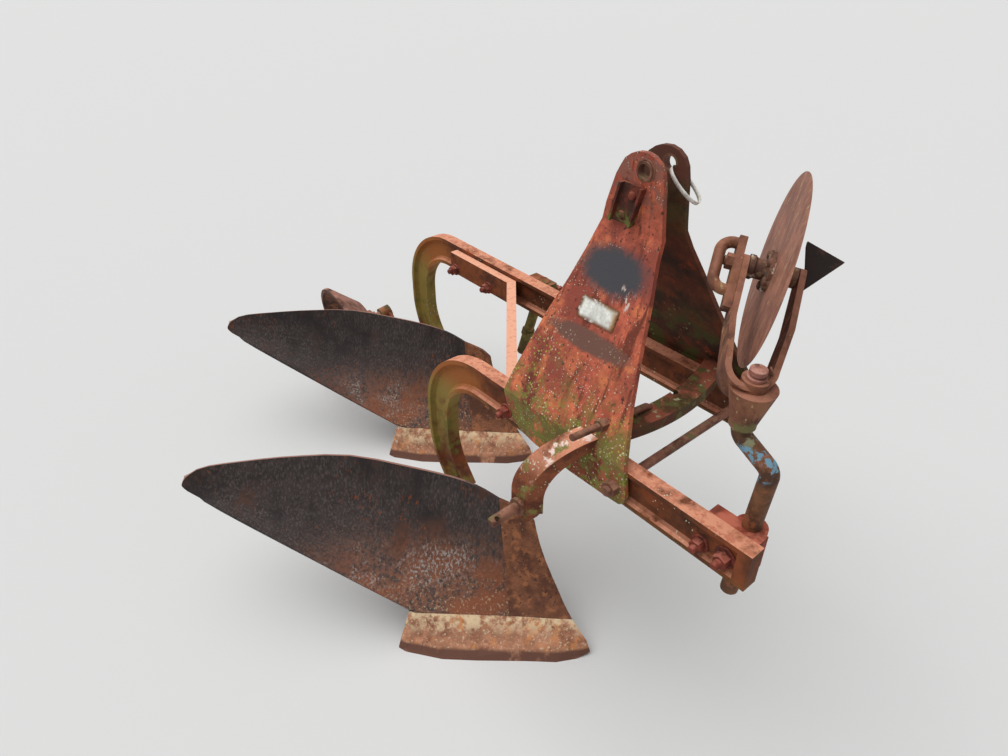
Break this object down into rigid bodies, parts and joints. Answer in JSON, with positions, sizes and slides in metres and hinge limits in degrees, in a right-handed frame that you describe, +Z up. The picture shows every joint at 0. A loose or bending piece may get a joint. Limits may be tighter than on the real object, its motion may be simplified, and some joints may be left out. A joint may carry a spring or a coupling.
{
  "type": "moldboard plough",
  "caption": "Mounted plough with gooseneck beams, bent mast plates, hitch arms, moldboard bodies, a stowed rolling coulter and a leaning furrow wheel.",
  "frame": {"origin": "on the ground below the middle of the whole plough's box", "axes": "+Z up, -Y forward the way it is drawn, +X to its land side, the furrows turned towards -X"},
  "size_m": [1.1526, 1.8238, 1.107],
  "materials": {
    "beam_paint": "faded red paint over rust",
    "plate_paint": "worn orange red paint, rust and lichen",
    "arm_paint": "worn red paint with pale lichen",
    "olive_paint": "weathered paint with olive growth",
    "rust_steel": "rusted",
    "share_steel": "rusted, pale dirt at the top edge",
    "board_steel": "dark scoured steel with rust",
    "disc_steel": "streaky rust",
    "blade_steel": "dark rust",
    "cast": "rusted casting"
  },
  "bodies": {
    "root": {"beam_front": "beam_paint", "beam_rear": "beam_paint", "mast_plate_right": "plate_paint", "mast_plate_left": "plate_paint", "top_bush_right": "rust_steel", "top_bush_left": "rust_steel", "stow_bracket": "rust_steel", "hitch_arm_right": "arm_paint", "hitch_arm_left": "arm_paint", "hitch_pin_right": "rust_steel", "hitch_pin_left": "rust_steel", "bow_brace": "arm_paint", "tie_rod": "rust_steel", "strap_brace": "olive_paint", "stay_rod": "rust_steel", "frog_front": "cast", "frog_rear": "cast", "landside_front": "rust_steel", "landside_rear": "rust_steel", "share_front": "share_steel", "share_rear": "share_steel", "shin_front": "share_steel", "shin_rear": "share_steel", "mouldboard_front": "board_steel", "mouldboard_rear": "board_steel", "board_stay_front": "olive_paint", "board_stay_rear": "olive_paint", "coulter_clamp": "olive_paint", "coulter_shank": "rust_steel", "coulter_cap": "cast", "stub_clamp": "olive_paint", "stub_shank": "rust_steel", "wheel_bracket": "olive_paint", "wheel_axle": "rust_steel"},
    "yoke": {"coulter_yoke": "rust_steel", "coulter_axle": "rust_steel", "jointer_loop": "rust_steel", "jointer_clamp": "rust_steel", "jointer_blade": "blade_steel"},
    "disc": {"coulter_disc": "disc_steel", "coulter_hub": "cast"},
    "wheel": {"furrow_wheel": "cast"}
  },
  "joints": [
    {"name": "yoke_swivel", "type": "hinge", "parent": "root", "child": "yoke", "pos_m": [0.06775, -0.81481, 0.86356], "axis": [0, -0.0593, 0.9982], "range_deg": [-60, 15]},
    {"name": "disc_spin", "type": "hinge", "parent": "yoke", "child": "disc", "pos_m": [0.20537, -0.72689, 0.94893], "axis": [-0.5559, 0.8163, 0.1567], "continuous": true},
    {"name": "wheel_spin", "type": "hinge", "parent": "root", "child": "wheel", "pos_m": [0.18475, 0.7471, 0.16384], "axis": [0.9811, -0.0858, 0.1736], "continuous": true}
  ]
}
